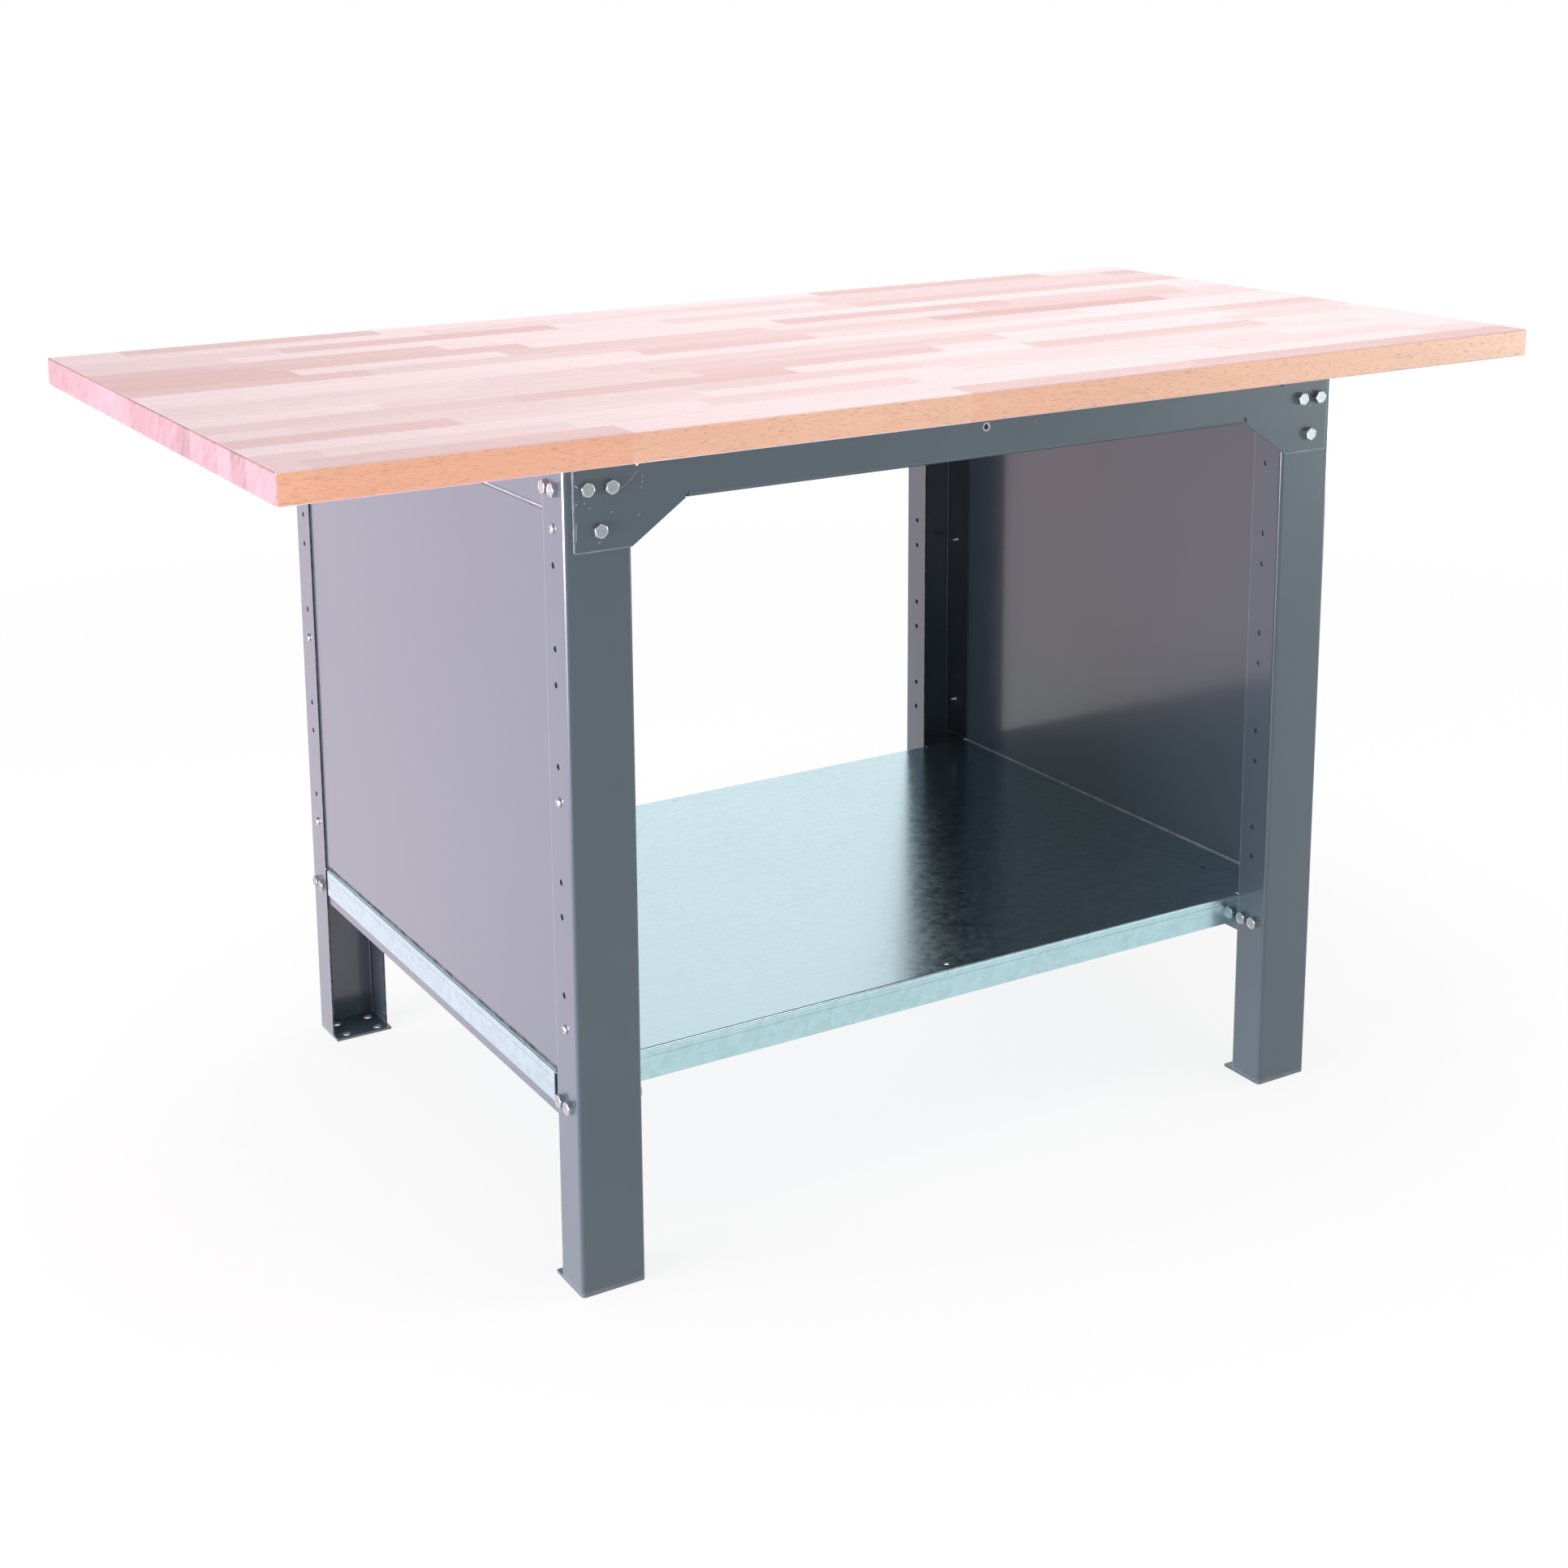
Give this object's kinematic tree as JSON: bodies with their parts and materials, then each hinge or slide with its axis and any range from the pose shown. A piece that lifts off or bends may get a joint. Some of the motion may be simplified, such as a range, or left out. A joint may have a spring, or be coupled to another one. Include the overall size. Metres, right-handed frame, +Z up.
{
  "type": "workbench",
  "caption": "Workshop bench with a solid beech worktop on a dark grey folded steel frame with gusseted rails, closed ends and a galvanised lower shelf.",
  "frame": {"origin": "middle of the bench's footprint box, on the floor", "axes": "+X to the right along the bench seen from the front, +Y to the rear, +Z up"},
  "size_m": [1.5, 0.7578, 0.86],
  "materials": {
    "beech": "oiled, edge glued staves",
    "grey_paint": "glossy enamel",
    "galvanised_sheet": "galvanised, spangled",
    "zinc_fasteners": "bright zinc plate"
  },
  "bodies": {
    "root": {"worktop": "beech", "front_left_leg": "grey_paint", "front_left_foot": "grey_paint", "front_right_leg": "grey_paint", "front_right_foot": "grey_paint", "front_rail": "grey_paint", "front_rail_bolts": "zinc_fasteners", "front_rail_nuts": "zinc_fasteners", "rear_left_leg": "grey_paint", "rear_left_foot": "grey_paint", "rear_right_leg": "grey_paint", "rear_right_foot": "grey_paint", "rear_rail": "grey_paint", "rear_rail_bolts": "zinc_fasteners", "rear_rail_nuts": "zinc_fasteners", "left_upper_cross_rail": "grey_paint", "left_lower_cross_rail": "grey_paint", "left_end_panel": "grey_paint", "left_outer_bolts": "zinc_fasteners", "left_inner_bolts": "zinc_fasteners", "left_outer_nuts": "zinc_fasteners", "left_inner_nuts": "zinc_fasteners", "left_panel_screws": "zinc_fasteners", "right_upper_cross_rail": "grey_paint", "right_lower_cross_rail": "grey_paint", "right_end_panel": "grey_paint", "right_outer_bolts": "zinc_fasteners", "right_inner_bolts": "zinc_fasteners", "right_outer_nuts": "zinc_fasteners", "right_inner_nuts": "zinc_fasteners", "right_panel_screws": "zinc_fasteners", "shelf": "galvanised_sheet", "rail_wood_screws": "zinc_fasteners", "cross_rail_wood_screws": "zinc_fasteners"}
  },
  "joints": []
}
